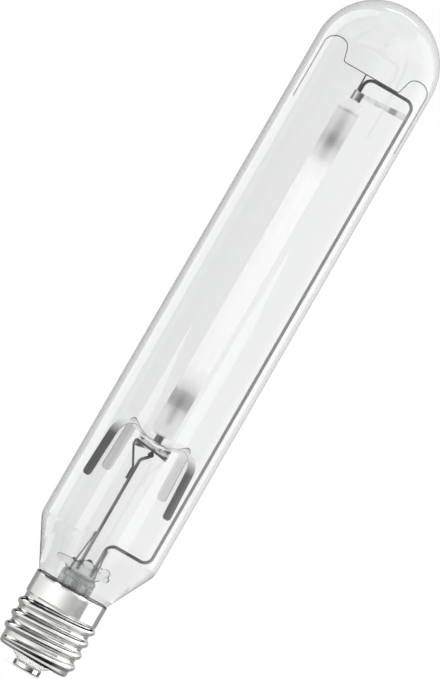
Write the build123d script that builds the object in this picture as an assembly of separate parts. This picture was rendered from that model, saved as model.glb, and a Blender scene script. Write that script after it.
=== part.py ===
"""Tubular high-pressure sodium lamp with an E40 screw cap.

Millimetres. The lamp stands on the z axis with its dome up. The origin is the
middle of the contact face at the foot of the cap. -y is the front.
"""
from build123d import *
import math
import os

# Cap: an E40 screw cap
thread_diameter = 39.3        # over the crests
thread_depth = 1.85           # crest to root
thread_pitch = 6.35
thread_turns = 3              # turns at full depth
thread_fade = 0.5             # turns of run-out at the foot and into the skirt
thread_foot = 5.65            # shell bottom to the first full crest
thread_head = 2.175           # last full crest to the skirt
thread_root_blend = 0.13      # wall between the turns, above the wave's lowest line
thread_ridge_share = 0.96     # width of the ridge's foot, in pitches
thread_sink_share = 0.6       # depth of the ridge's base in the wall, in sheets
fade_steps = 6                # sections of a run-out
cap_sheet = 0.45              # wall of the rolled shell
skirt_step = 0.95             # skirt inside the crests
skirt_slope = 1.0             # height of the step from the threaded wall to the skirt
skirt_length = 11.2
shell_corner = 1.5            # rounding at the foot of the shell
mouth_diameter = 21.8         # hole in the shell's bottom
contact_diameter = 14.0
contact_height = 3.6
contact_edge = 0.8            # rounding of the contact
insulator_drop = 3.0          # cone between contact and shell
insulator_disc = 3.0          # insulator thickness inside the shell

# Outer bulb
bulb_diameter = 61.0
bulb_wall = 1.3
neck_gap = 0.25               # neck inside the threaded wall
neck_length = 17.7            # neck below the rim of the cap
rim_gap = 0.15                # cone to the rim of the cap
cone_height = 24.0            # rim to the shoulder
neck_rounding = 4.0           # neck to cone
shoulder_rounding = 10.0      # cone to cylinder
dome_room = 7.0               # top bar of the frame to the middle of the dome

# Stem
stem_diameter = 17.6
stem_wall = 1.3
stem_rise = 7.6               # stem tube above the rim
flare_rim = 1.3               # thickness of the flare's rim
flare_height = 9.0
press_width = 27.6
press_thickness = 6.0
press_height = 8.6
press_shift = -0.4            # the press is a little to the left
press_sink = 0.9              # foot of the press in the stem tube
tip_low = 2.4                 # underside of the left tip above the stem tube
tip_high = 4.7                # top of the left tip
tip_slant = 1.7               # sideways run of the tip's end
left_dip = 5.2                # glass at the support rod, above the stem tube
right_dip = 5.7               # glass at the frame rod
lobe_low = 3.9                # underside of the right lobe
lobe_width = 3.8
lobe_slant = 1.7              # sideways run of the lobe's end
press_corner = 1.2            # rounding of the outline
press_edge = 0.72             # rounding along the outline
exhaust_diameter = 5.4
exhaust_wall = 1.0
exhaust_length = 30.0
exhaust_bore = 2.2            # pumping hole through the press
exhaust_tip = 2.1             # rounding of the sealed end

# Lead-in wires
lead_diameter = 0.9
lead_weld = 4.0               # length welded along a rod
lead_climb = 8.5              # press to the lower end of that weld
lead_slip = 1.5               # sideways step between press and weld
lead_tail = 6.0               # bent length above the contact
lead_entry = 2.6              # bend in the glass, below the top of the press

# Mount
rod_diameter = 1.6
support_offset = 2.8          # support rod, left of the axis
frame_foot_offset = 4.4       # foot of the frame rod, right of the axis
rod_embed = 6.9               # ends of the rods below the top of the press
support_length = 62.4         # press to the spring plate
post_offset = 0.5             # end of the support rod, right of the axis
post_length = 7.0             # below the spring plate, above the bend
post_gap = 1.6                # end of the support rod below the spring plate
support_bend = 2.0
bead_diameter = 2.9           # weld bead on the post
bead_height = 2.3
bead_edge = 0.9
bead_drop = 6.0               # spring plate to the middle of the bead
frame_foot_rise = 10.7        # press to the lower cross run
frame_gap = 2.9               # frame rod to the glass
frame_bend = 4.3
bar_rise = 12.9               # arc tube to the top bar
frame_tip = 1.4               # end of the frame rod above the arc tube
brace_diameter = 1.05
brace_weld = 6.5              # length welded along the support rod
brace_drop = 21.2             # spring plate to the lower end of the brace wire
brace_bend = 1.3
brace_fold = 2.6              # spring plate to the upper bend of the brace wire

# Spring bracket and plate at the lower end of the arc tube
bracket_left = 8.7
bracket_right = 8.2
bracket_height = 5.8
bracket_waist = 2.2           # height at the post
bracket_dip = 1.75            # top edge at the post, below the plate
bracket_sheet = 0.4
plate_diameter = 17.0
plate_sheet = 0.5
leaf_width = 5.6
leaf_sheet = 0.4
leaf_splay = 2.0              # a tip stands this much further out than its bend
leaf_seat = 2.9               # length of a leaf on the plate
leaf_corner = 1.3             # trimmed corners of a tip
front_angle = 47.0            # leaf to the front direction
front_climb = 5.0
front_bend = 8.0
front_leg = 34.2
rear_angle = 32.0             # leaf to the rear direction
rear_climb = 6.2
rear_bend = 4.2
rear_leg = 29.7

# Dome spring on the top bar
dome_spring_width = 4.0
dome_spring_sheet = 0.4
loop_height = 9.3
loop_lean = 2.4               # sideways run of a loop's inner flank
loop_width = 12.6             # foot of a loop to its leg
loop_rounding = 5.8           # at the leg
loop_inner_rounding = 4.6     # at the inner flank
loop_foot_rounding = 1.5
dome_leg = 35.0               # loop top to the tip of a leg
left_leg_gap = 3.2            # left leg to the glass; the right one bears on it

# Guide pin and side strap at the upper end of the arc tube
pin_diameter = 0.7
pin_length = 8.1
strap_sheet = 0.3
clip_height = 4.8
clip_slit = 0.7               # end of the clip's front prong to the axis
clip_bend = 1.4               # of the front prong
strap_height = 2.3            # at the clip
strap_end_height = 3.2        # at the frame rod
strap_climb = 1.1             # middle line, clip to rod
strap_overlap = 0.8           # past the middle of the frame rod
strap_bend = 0.65             # clip to ribbon

# Arc tube
niobium_stub = 4.1            # spring plate to the arc tube
arc_tube_diameter = 11.0
arc_tube_wall = 0.8
arc_tube_length = 180.5
plug_length = 5.1
niobium_diameter = 4.0
niobium_wall = 0.4
niobium_floor = 0.8           # closed inner end
niobium_head = 5.2            # upper tube above the arc tube
niobium_tail = 0.3            # lower tube below the spring plate
seal_width = 0.9
seal_height = 0.5
electrode_diameter = 1.2
electrode_length = 25.0       # plug to the tip
electrode_rounding = 0.36
coil_wire = 1.2
coil_pitch = 1.6
coil_turns = 6
coil_setback = 2.5            # tip of the rod to the coil

# Clearances
seat = 0.03                   # pieces that are cemented, sealed or welded
glass_seat = 0.1              # springs against the glass
full_bend = 0.98              # a half-round bend, as a share of the largest that fits

# Heights, from the contact face up
shell_bottom = contact_height + insulator_drop
first_crest = shell_bottom + thread_foot
last_crest = first_crest + thread_turns * thread_pitch
skirt_foot = last_crest + thread_head
step_foot = skirt_foot - skirt_slope / 2
step_head = skirt_foot + skirt_slope / 2
rim = skirt_foot + skirt_length
neck_end = rim - neck_length
stem_top = rim + stem_rise
press_top = stem_top + press_height
plate_bottom = press_top + support_length
plate_top = plate_bottom + plate_sheet
arc_bottom = plate_top + niobium_stub
arc_top = arc_bottom + arc_tube_length
bar = arc_top + bar_rise
dome_middle = bar + dome_room

# Radii
crest_radius = thread_diameter / 2
root_radius = crest_radius - thread_depth
shell_bore = root_radius - cap_sheet
skirt_radius = crest_radius - skirt_step
skirt_bore = skirt_radius - cap_sheet
neck_radius = shell_bore - neck_gap
rim_glass_radius = skirt_bore - rim_gap
bulb_radius = bulb_diameter / 2
glass_radius = bulb_radius - bulb_wall
stem_radius = stem_diameter / 2
rod_radius = rod_diameter / 2
lead_radius = lead_diameter / 2
niobium_radius = niobium_diameter / 2
plug_radius = arc_tube_diameter / 2 - arc_tube_wall

# Places across
frame_x = glass_radius - frame_gap - rod_radius
press_middle = (frame_foot_offset - support_offset) / 2
left_lead_x = -support_offset - rod_radius - lead_radius - seat
right_lead_x = frame_foot_offset + rod_radius + lead_radius + seat


def revolved(line):
    """Solid of revolution about z from an outline drawn in x (radius) and z."""
    return revolve(Plane.XZ * make_face(line), Axis.Z)


def tube(outer, inner, bottom, top):
    """Straight tube on the z axis."""
    ring = Circle(outer) - Circle(inner)
    return extrude(Pos(0, 0, bottom) * ring, top - bottom)


def bent_wire(points, bends, diameter):
    """Round wire along straight runs joined by bends."""
    path = FilletPolyline(*points, radius=bends)
    section = Plane(path @ 0, z_dir=path % 0) * Circle(diameter / 2)
    return sweep(section, path=path)


def bent_strip(points, bends, width, sheet, across):
    """Flat strip along straight runs joined by bends; its width lies along across."""
    path = FilletPolyline(*points, radius=bends)
    section = Plane(path @ 0, x_dir=across, z_dir=path % 0) * Rectangle(width, sheet)
    return sweep(section, path=path)


def thread_section(scale):
    """Rounded ridge of the thread, x outwards from the crest and y along the axis.

    The flanks are two tangent arcs of one radius. A scale below 1 sinks the
    ridge into the wall, for the run-outs.
    """
    quarter = thread_pitch / 4
    arc = (thread_depth**2 + (2 * quarter) ** 2) / (4 * thread_depth)
    foot = 2 * quarter * thread_ridge_share
    foot_x = -thread_depth + arc - math.sqrt(arc**2 - (2 * quarter - foot) ** 2)
    sunk = -thread_depth - cap_sheet * thread_sink_share
    lean = math.asin(quarter / arc)
    root_turn = math.asin((2 * quarter - foot) / arc)
    half_root = (lean + root_turn) / 2
    root_x = -thread_depth + arc - arc * math.cos(half_root)
    root_y = 2 * quarter - arc * math.sin(half_root)
    with BuildLine() as line:
        Polyline((foot_x, -foot), (sunk, -foot), (sunk, foot), (foot_x, foot))
        ThreePointArc((foot_x, foot), (root_x, root_y), (-thread_depth / 2, quarter))
        ThreePointArc((-thread_depth / 2, quarter), (0, 0), (-thread_depth / 2, -quarter))
        ThreePointArc((-thread_depth / 2, -quarter), (root_x, -root_y), (foot_x, -foot))
    ridge = make_face(line.line)
    drop = (1 - scale) * thread_depth
    return Pos(-drop, 0) * ridge


def helix_frame(turn):
    """Plane of the thread's section at a turn counted from the first full crest."""
    angle = 2 * math.pi * turn
    outwards = Vector(math.cos(angle), math.sin(angle), 0)
    height = first_crest + turn * thread_pitch
    spot = outwards * crest_radius + Vector(0, 0, height)
    forwards = Vector(-math.sin(angle), math.cos(angle), 0)
    return Plane(spot, x_dir=outwards, z_dir=forwards)


def run_out(start, turns):
    """End of the ridge, sinking into the wall over some turns."""
    sections = []
    for step in range(fade_steps + 1):
        part = step / fade_steps
        sink = math.cos(part * math.pi / 2)
        sections.append(helix_frame(start + turns * part) * thread_section(sink))
    return loft(sections)


def thread_ridge():
    """Helical ridge with a run-out at each end, sunk into the wall."""
    path = Pos(0, 0, first_crest) * Helix(thread_pitch, thread_turns * thread_pitch, crest_radius)
    ridge = sweep(helix_frame(0) * thread_section(1), path=path, is_frenet=True)
    ridge += run_out(0, -thread_fade)
    ridge += run_out(thread_turns, thread_fade)
    foot = shell_bottom + shell_corner / 2
    with BuildLine() as line:
        Polyline(
            (shell_bore + cap_sheet / 2, foot),
            (shell_bore + cap_sheet / 2, step_foot),
            (skirt_bore + cap_sheet / 2, step_head),
            (skirt_bore + cap_sheet / 2, rim),
            (2 * crest_radius, rim),
            (2 * crest_radius, foot),
            close=True,
        )
    return ridge & revolved(line.line)


def screw_shell():
    """Rolled shell: bottom with its hole, threaded wall and plain skirt."""
    wall = root_radius + thread_root_blend
    with BuildLine() as line:
        FilletPolyline(
            (mouth_diameter / 2, shell_bottom),
            (wall, shell_bottom),
            (wall, step_foot),
            (skirt_radius, step_head),
            (skirt_radius, rim),
            radius=[shell_corner, skirt_slope, skirt_slope],
        )
        Polyline(
            (skirt_radius, rim),
            (skirt_bore, rim),
            (skirt_bore, step_head + cap_sheet / 2),
            (shell_bore, step_foot + cap_sheet / 2),
            (shell_bore, shell_bottom + cap_sheet),
            (mouth_diameter / 2, shell_bottom + cap_sheet),
            (mouth_diameter / 2, shell_bottom),
        )
    return revolved(line.line) + thread_ridge()


def cap_insulator():
    """Disc inside the shell with a cone down to the contact and a hole for the lead."""
    disc_bottom = shell_bottom + cap_sheet + seat
    disc_top = disc_bottom + insulator_disc
    disc_radius = shell_bore - max(seat, shell_corner - cap_sheet)
    mouth = mouth_diameter / 2 - seat
    hole = lead_radius + seat
    with BuildLine() as line:
        Polyline(
            (hole, contact_height),
            (contact_diameter / 2 - contact_edge, contact_height),
            (mouth, shell_bottom),
            (mouth, disc_bottom),
            (disc_radius, disc_bottom),
            (disc_radius, disc_top),
            (hole, disc_top),
            (hole, contact_height),
        )
    return revolved(line.line)


def centre_contact():
    """Turned contact with rounded edges and a flat foot."""
    body = extrude(Circle(contact_diameter / 2), contact_height)
    return fillet(body.edges(), contact_edge)


def cap_cement():
    """Cement ring between neck and skirt, from the skirt's step to the bend of the neck."""
    top = bulb_line(0)[0] - neck_rounding / 2
    return tube(skirt_bore - seat, neck_radius + seat, skirt_foot + skirt_slope, top)


def bulb_line(inset):
    """Heights of the neck's and the shoulder's corner on the bulb's wall, moved in by inset."""
    slope = (bulb_radius - rim_glass_radius) / cone_height
    foot = rim_glass_radius + inset - inset * math.sqrt(1 + slope**2)
    return rim + (neck_radius - foot) / slope, rim + (bulb_radius - foot) / slope


def glass_bulb():
    """Blown bulb: dome, cylinder, shoulder, cone and the neck inside the cap."""
    corner, shoulder = bulb_line(0)
    inner_corner, inner_shoulder = bulb_line(bulb_wall)
    top = dome_middle + bulb_radius
    inner_top = dome_middle + glass_radius
    sine = math.sqrt(0.5)
    with BuildLine() as line:
        FilletPolyline(
            (neck_radius, neck_end),
            (neck_radius, corner),
            (bulb_radius, shoulder),
            (bulb_radius, dome_middle),
            radius=[neck_rounding, shoulder_rounding],
        )
        ThreePointArc(
            (bulb_radius, dome_middle),
            (bulb_radius * sine, dome_middle + bulb_radius * sine),
            (0, top),
        )
        Line((0, top), (0, inner_top))
        ThreePointArc(
            (0, inner_top),
            (glass_radius * sine, dome_middle + glass_radius * sine),
            (glass_radius, dome_middle),
        )
        FilletPolyline(
            (glass_radius, dome_middle),
            (glass_radius, inner_shoulder),
            (neck_radius - bulb_wall, inner_corner),
            (neck_radius - bulb_wall, neck_end),
            radius=[shoulder_rounding - bulb_wall, neck_rounding + bulb_wall],
        )
        Line((neck_radius - bulb_wall, neck_end), (neck_radius, neck_end))
    return revolved(line.line)


def press_blade():
    """Flattened glass round the wires, with a drooping left tip and a raised right lobe."""
    left = press_shift - press_width / 2
    right = press_shift + press_width / 2
    foot = stem_top - press_sink
    with BuildLine() as line:
        FilletPolyline(
            (-stem_radius, foot),
            (left, stem_top + tip_low),
            (left + tip_slant, stem_top + tip_high),
            (-support_offset, stem_top + left_dip),
            (press_middle, press_top),
            (frame_foot_offset, stem_top + right_dip),
            (right - lobe_slant - lobe_width, press_top),
            (right - lobe_slant, press_top),
            (right, stem_top + lobe_low),
            (stem_radius, foot),
            radius=press_corner,
        )
        Line((stem_radius, foot), (-stem_radius, foot))
    blade = extrude(Plane.XZ * make_face(line.line), press_thickness / 2, both=True)
    rounded = blade.edges().filter_by(Plane.XZ)
    return fillet(rounded.sort_by(Axis.Z)[1:], press_edge)


def stem():
    """Flare, tube and press of one piece of glass, with the holes that it is sealed round."""
    inner = stem_radius - stem_wall
    flare_top = neck_end + flare_height
    flange = neck_radius - flare_rim
    with BuildLine() as line:
        FilletPolyline(
            (0, stem_top),
            (stem_radius, stem_top),
            (stem_radius, flare_top),
            (flange - stem_wall, neck_end),
            (neck_radius, neck_end),
            radius=[stem_wall, flare_height / 2, stem_wall],
        )
        Polyline(
            (neck_radius, neck_end),
            (neck_radius, neck_end - flare_rim),
            (flange - 2 * stem_wall, neck_end - flare_rim),
            (inner, flare_top),
            (inner, stem_top - 2 * stem_wall),
            (0, stem_top - 2 * stem_wall),
            (0, stem_top),
        )
    glass = revolved(line.line) + press_blade()
    pump_hole = Pos(press_middle, 0, stem_top - 3 * stem_wall) * Cylinder(
        exhaust_bore / 2, 3 * press_height, align=(Align.CENTER, Align.CENTER, Align.MIN)
    )
    glass -= pump_hole
    for wire in (support_rod(seat), frame_rod(seat), contact_lead(seat), shell_lead(seat)):
        glass -= wire
    return glass


def exhaust_tube():
    """Pumping tube below the press, sealed off at its lower end."""
    top = stem_top - 2 * stem_wall - seat
    bottom = top - exhaust_length
    outer = exhaust_diameter / 2
    body = Pos(press_middle, 0, bottom) * extrude(Circle(outer), exhaust_length)
    body = fillet(body.faces().sort_by(Axis.Z)[0].edges(), exhaust_tip)
    bore = Pos(press_middle, 0, bottom + outer) * extrude(Circle(outer - exhaust_wall), exhaust_length)
    return body - bore


def contact_lead(growth=0.0):
    """Left lead-in wire: weld on the support rod, press, stem and down to the contact."""
    weld_foot = press_top + lead_climb
    press_x = left_lead_x - lead_slip
    points = [
        (left_lead_x, 0, weld_foot + lead_weld),
        (left_lead_x, 0, weld_foot),
        (press_x, 0, press_top - lead_entry),
        (press_x, 0, shell_bottom + 2 * insulator_disc + lead_tail),
        (0, 0, shell_bottom + 2 * insulator_disc),
        (0, 0, contact_height),
    ]
    bend = 3 * lead_diameter
    return bent_wire(points, bend, lead_diameter + 2 * growth)


def shell_lead(growth=0.0):
    """Right lead-in wire: weld on the frame rod, press, stem and out to the shell."""
    weld_foot = press_top + lead_climb / 3
    press_x = right_lead_x + lead_slip / 3
    end = shell_bore - lead_radius
    points = [
        (right_lead_x, 0, weld_foot + lead_weld),
        (right_lead_x, 0, weld_foot),
        (press_x, 0, press_top - lead_entry),
        (press_x, 0, neck_end - flare_rim - lead_tail / 2),
        (end, 0, neck_end - flare_rim - lead_tail),
    ]
    bend = 3 * lead_diameter
    return bent_wire(points, bend, lead_diameter + 2 * growth)


def support_rod(growth=0.0):
    """Short rod from the press, bent over to the post under the arc tube, with a weld bead."""
    bend_head = plate_bottom - post_length
    points = [
        (-support_offset, 0, press_top - rod_embed),
        (-support_offset, 0, bend_head - support_offset - post_offset),
        (post_offset, 0, bend_head),
        (post_offset, 0, plate_bottom - post_gap),
    ]
    bead = Pos(post_offset, 0, plate_bottom - bead_drop) * Cylinder(bead_diameter / 2, bead_height)
    bead = fillet(bead.edges(), bead_edge)
    return bent_wire(points, support_bend, rod_diameter + 2 * growth) + bead


def frame_rod(growth=0.0):
    """Long rod: press, lower cross run, up the side, top bar and down into the niobium tube."""
    foot_run = press_top + frame_foot_rise
    points = [
        (frame_foot_offset, 0, press_top - rod_embed),
        (frame_foot_offset, 0, foot_run),
        (frame_x, 0, foot_run),
        (frame_x, 0, bar),
        (0, 0, bar),
        (0, 0, arc_top + frame_tip),
    ]
    return bent_wire(points, frame_bend, rod_diameter + 2 * growth)


def brace_wire():
    """Thin wire beside the support rod, out to the bracket's fold and across its front."""
    brace_radius = brace_diameter / 2
    weld_x = -support_offset - rod_radius - brace_radius - seat
    foot = plate_bottom - brace_drop
    front = -(rod_radius + seat + bracket_sheet + seat + brace_radius)
    low = plate_bottom - bracket_height
    fold_x = -bracket_left - brace_radius - seat
    points = [
        (weld_x, 0, foot),
        (weld_x, 0, foot + brace_weld),
        (fold_x, front, low + brace_diameter / 2),
        (fold_x, front, plate_bottom - brace_fold),
        (bracket_right - brace_diameter / 2, front, low + brace_diameter),
    ]
    return bent_wire(points, [brace_bend, brace_bend, brace_bend / 2], brace_diameter)


def spring_bracket():
    """Strip folded at its left end round the post, narrow at the post and wide at its ends."""
    leaf_y = rod_radius + seat + bracket_sheet / 2
    middle = plate_bottom - bracket_height / 2
    fold = -bracket_left + bracket_sheet / 2
    points = [
        (bracket_right, -leaf_y, middle),
        (fold, -leaf_y, middle),
        (fold, leaf_y, middle),
        (bracket_right, leaf_y, middle),
    ]
    strip = bent_strip(points, leaf_y * full_bend, bracket_height, bracket_sheet, (0, 0, 1))
    low = plate_bottom - bracket_height
    waist_top = plate_bottom - bracket_dip
    outline = Polyline(
        (-bracket_left, plate_bottom),
        (post_offset, waist_top),
        (bracket_right, plate_bottom),
        (bracket_right, low),
        (post_offset, waist_top - bracket_waist),
        (-bracket_left, low),
        close=True,
    )
    window = extrude(Plane.XZ * make_face(outline), 2 * leaf_y, both=True)
    return strip & window


def spring_plate():
    """Round plate under the springs, with a hole for the lower niobium tube."""
    return tube(plate_diameter / 2, niobium_radius + seat, plate_bottom, plate_top)


def leaf_spring(angle, climb, bend, leg):
    """Leaf from the plate, rising outwards, bent over and down against the glass."""
    tip_radius = math.sqrt((glass_radius - glass_seat) ** 2 - (leaf_width / 2) ** 2) - leaf_sheet / 2
    edge = plate_diameter / 2
    level = plate_top + leaf_sheet / 2
    points = [
        (edge - leaf_seat, 0, level),
        (edge + leaf_sheet, 0, level),
        (tip_radius - leaf_splay, 0, level + climb),
        (tip_radius, 0, level + climb - leg),
    ]
    leaf = bent_strip(points, bend, leaf_width, leaf_sheet, (0, 1, 0))
    tip = leaf.faces().sort_by(Axis.Z)[0]
    corners = [edge for edge in tip.edges() if edge.length < leaf_width / 2]
    leaf = chamfer(corners, leaf_corner)
    return Rot(0, 0, angle) * leaf


def dome_spring():
    """Strip on the top bar with a loop and a leg at each side."""
    level = bar + rod_radius + dome_spring_sheet / 2
    loop_top = level + loop_height
    reach = math.sqrt((glass_radius - glass_seat) ** 2 - (dome_spring_width / 2) ** 2)
    right = reach - dome_spring_sheet / 2
    left = -(glass_radius - left_leg_gap)
    right_foot = right - loop_width
    left_foot = left + loop_width
    tip = loop_top - dome_leg
    points = [
        (left, 0, tip),
        (left, 0, loop_top),
        (left_foot - loop_lean, 0, loop_top),
        (left_foot, 0, level),
        (right_foot, 0, level),
        (right_foot + loop_lean, 0, loop_top),
        (right, 0, loop_top),
        (right, 0, tip),
    ]
    bends = [loop_rounding, loop_inner_rounding, loop_foot_rounding]
    bends += bends[::-1]
    return bent_strip(points, bends, dome_spring_width, dome_spring_sheet, (0, 1, 0))


def guide_pin():
    """Pin beside the end of the frame rod, under the dome spring."""
    place = -(rod_radius + pin_diameter / 2 + seat)
    top = bar + rod_radius
    return Pos(place, 0, top - pin_length) * extrude(Circle(pin_diameter / 2), pin_length)


def side_strap():
    """Clip round the upper niobium tube and a flat ribbon on to the frame rod."""
    clip = niobium_radius + seat + strap_sheet / 2
    front = -(rod_radius + seat + strap_sheet / 2)
    clip_foot = arc_top + seal_height + seat
    clip_top = clip_foot + clip_height
    strap_level = clip_top - strap_height / 2
    end = frame_x + strap_overlap
    points = [
        (-clip_slit, -clip, clip_foot),
        (-clip, -clip, clip_foot),
        (-clip, clip, clip_foot),
        (clip, clip, clip_foot),
        (clip, front, clip_foot),
        (end, front, clip_foot),
    ]
    bends = [clip_bend, clip * full_bend, clip * full_bend, strap_bend]
    tall = 2 * (clip_height + strap_end_height)
    strip = bent_strip(points, bends, tall, strap_sheet, (0, 0, 1))
    neck = clip + strap_sheet * 2
    end_level = strap_level + strap_climb
    outline = Polyline(
        (-2 * clip, clip_foot),
        (neck, clip_foot),
        (neck, strap_level - strap_height / 2),
        (end, end_level - strap_end_height / 2),
        (end, end_level + strap_end_height / 2),
        (neck, clip_top),
        (-2 * clip, clip_top),
        close=True,
    )
    window = extrude(Plane.XZ * make_face(outline), 2 * clip, both=True)
    return strip & window


def arc_tube():
    """Translucent alumina tube."""
    return tube(arc_tube_diameter / 2, plug_radius, arc_bottom, arc_top)


def at_end(upper, piece):
    """A piece drawn for the lower end, at height 0 of the arc tube, set at either end."""
    if upper:
        return Pos(0, 0, arc_top) * Rot(180, 0, 0) * piece
    return Pos(0, 0, arc_bottom) * piece


def end_plug():
    """Alumina plug with its hole, flush with the end of the arc tube."""
    return tube(plug_radius - seat, niobium_radius + seat, 0, plug_length)


def seal_ring():
    """Sealing frit round the niobium tube, on the outer face of the plug."""
    return tube(niobium_radius + seat + seal_width, niobium_radius + seat, -seal_height, 0)


def niobium_tube(length):
    """Feedthrough tube with a closed inner end, flush with the plug."""
    body = extrude(Pos(0, 0, -length) * Circle(niobium_radius), length + plug_length)
    bore_length = length + plug_length - niobium_floor
    bore = extrude(Pos(0, 0, -length) * Circle(niobium_radius - niobium_wall), bore_length)
    return body - bore


def electrode_rod():
    """Tungsten rod from the closed end of the niobium tube, with a rounded tip."""
    body = extrude(Pos(0, 0, plug_length) * Circle(electrode_diameter / 2), electrode_length)
    return fillet(body.faces().sort_by(Axis.Z)[-1].edges(), electrode_rounding)


def electrode_coil():
    """Tungsten wire wound on the electrode rod."""
    radius = (electrode_diameter + coil_wire) / 2 + seat
    height = coil_turns * coil_pitch
    foot = plug_length + electrode_length - coil_setback - height
    path = Pos(0, 0, foot) * Helix(coil_pitch, height, radius)
    section = Plane(path @ 0, z_dir=path % 0) * Circle(coil_wire / 2)
    return sweep(section, path=path, is_frenet=True)


def make_pieces():
    """All pieces by node name."""
    pieces = {
        "screw_shell": screw_shell(),
        "cap_insulator": cap_insulator(),
        "centre_contact": centre_contact(),
        "cap_cement": cap_cement(),
        "glass_bulb": glass_bulb(),
        "stem": stem(),
        "exhaust_tube": exhaust_tube(),
        "contact_lead": contact_lead(),
        "shell_lead": shell_lead(),
        "support_rod": support_rod(),
        "brace_wire": brace_wire(),
        "spring_bracket": spring_bracket(),
        "spring_plate": spring_plate(),
        "leaf_spring_front_left": leaf_spring(-90 - front_angle, front_climb, front_bend, front_leg),
        "leaf_spring_front_right": leaf_spring(-90 + front_angle, front_climb, front_bend, front_leg),
        "leaf_spring_rear_left": leaf_spring(90 + rear_angle, rear_climb, rear_bend, rear_leg),
        "leaf_spring_rear_right": leaf_spring(90 - rear_angle, rear_climb, rear_bend, rear_leg),
        "frame_rod": frame_rod(),
        "dome_spring": dome_spring(),
        "guide_pin": guide_pin(),
        "side_strap": side_strap(),
        "arc_tube": arc_tube(),
    }
    for end, upper in (("upper", True), ("lower", False)):
        stub = niobium_head if upper else arc_bottom - plate_bottom + niobium_tail
        pieces[end + "_end_plug"] = at_end(upper, end_plug())
        pieces[end + "_seal_ring"] = at_end(upper, seal_ring())
        pieces[end + "_niobium_tube"] = at_end(upper, niobium_tube(stub))
        pieces[end + "_electrode_rod"] = at_end(upper, electrode_rod())
        pieces[end + "_electrode_coil"] = at_end(upper, electrode_coil())
    return pieces


def main():
    os.makedirs("parts", exist_ok=True)
    for name, piece in make_pieces().items():
        export_step(piece, f"parts/{name}.step")


if __name__ == "__main__":
    main()
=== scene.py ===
"""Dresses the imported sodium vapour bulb: clear blown glass, nickel cap, ceramic arc tube, wire mount."""
import math

import bpy
from mathutils import Matrix, Vector


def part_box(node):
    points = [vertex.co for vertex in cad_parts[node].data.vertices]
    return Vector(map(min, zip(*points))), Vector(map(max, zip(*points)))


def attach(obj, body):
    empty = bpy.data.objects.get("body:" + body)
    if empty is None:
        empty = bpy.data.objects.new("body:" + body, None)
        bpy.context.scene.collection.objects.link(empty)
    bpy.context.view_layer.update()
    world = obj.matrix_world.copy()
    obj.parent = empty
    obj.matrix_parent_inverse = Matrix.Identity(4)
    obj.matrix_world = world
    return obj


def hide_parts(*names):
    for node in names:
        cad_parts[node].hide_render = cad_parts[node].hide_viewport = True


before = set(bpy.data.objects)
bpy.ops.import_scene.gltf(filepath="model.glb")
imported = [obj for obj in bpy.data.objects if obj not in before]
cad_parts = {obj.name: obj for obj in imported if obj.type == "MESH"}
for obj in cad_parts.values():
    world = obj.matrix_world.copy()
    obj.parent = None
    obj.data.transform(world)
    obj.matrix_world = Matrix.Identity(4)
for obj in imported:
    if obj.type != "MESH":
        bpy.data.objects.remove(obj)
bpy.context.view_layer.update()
BODY = "root"
MM = 0.001

bl_info = {
    "name": "Sodium Vapour Bulb",
    "version": (1, 0, 0),
    "blender": (4, 5, 0),
    "location": "View3D > Sidebar > Lamp",
    "description": "Builds the looks of a tubular sodium lamp round its solid model",
    "category": "Object",
}

# Lumps of glass on the press, in millimetres: x, height over the stem tube, half sizes
LUMPS = (
    (-0.2, 2.4, (9.6, 3.1, 3.4)),
    (-8.6, 3.3, (5.6, 2.4, 1.9)),
    (-13.1, 3.4, (1.4, 1.4, 1.25)),
    (9.2, 3.9, (4.1, 2.3, 1.9)),
    (9.6, 6.6, (2.7, 2.0, 2.0)),
    (12.0, 4.3, (1.3, 1.3, 1.0)),
    (0.9, 5.6, (3.4, 2.5, 2.4)),
    (0.7, 8.0, (1.2, 1.1, 0.75)),
)
# Necks of glass along the wires, in millimetres: x, bottom, top, lower and upper radius, lean in radians
SLEEVES = (
    (-2.8, 3.0, 6.6, 2.6, 1.0, 0.0),
    (4.4, 3.0, 7.0, 2.8, 1.0, 0.0),
    (-6.4, 3.0, 6.0, 1.8, 0.6, 0.1),
    (6.6, 4.0, 8.0, 1.8, 0.6, -0.1),
)
# Deposits, with painted shade of the electrodes seen through the ceramic, in the arc tube: millimetres from its
# lower or upper end, share of the ceramic's colour
LOWER_DEPOSIT_AND_SHADE = (
    (0.0, 0.90), (3.0, 0.83), (8.0, 0.81), (11.0, 0.77), (13.5, 0.70), (15.5, 0.47), (17.5, 0.38),
    (19.5, 0.40), (22.5, 0.50), (24.0, 0.68), (26.0, 0.82), (31.0, 0.92), (38.0, 1.00),
)
UPPER_DEPOSIT_AND_SHADE = (
    (44.0, 1.00), (35.0, 0.93), (28.0, 0.62), (21.0, 0.28), (14.0, 0.50), (6.0, 0.62), (5.5, 0.35),
    (5.1, 0.35), (4.7, 0.80), (0.0, 0.82),
)
# Painted shadow of the lower electrode seen through the tube: millimetres from the lower end, strength
ELECTRODE_SHADOW_STREAK = ((4.5, 0.0), (7.0, 0.8), (14.0, 1.0), (17.0, 0.9), (23.0, 0.0))
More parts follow.
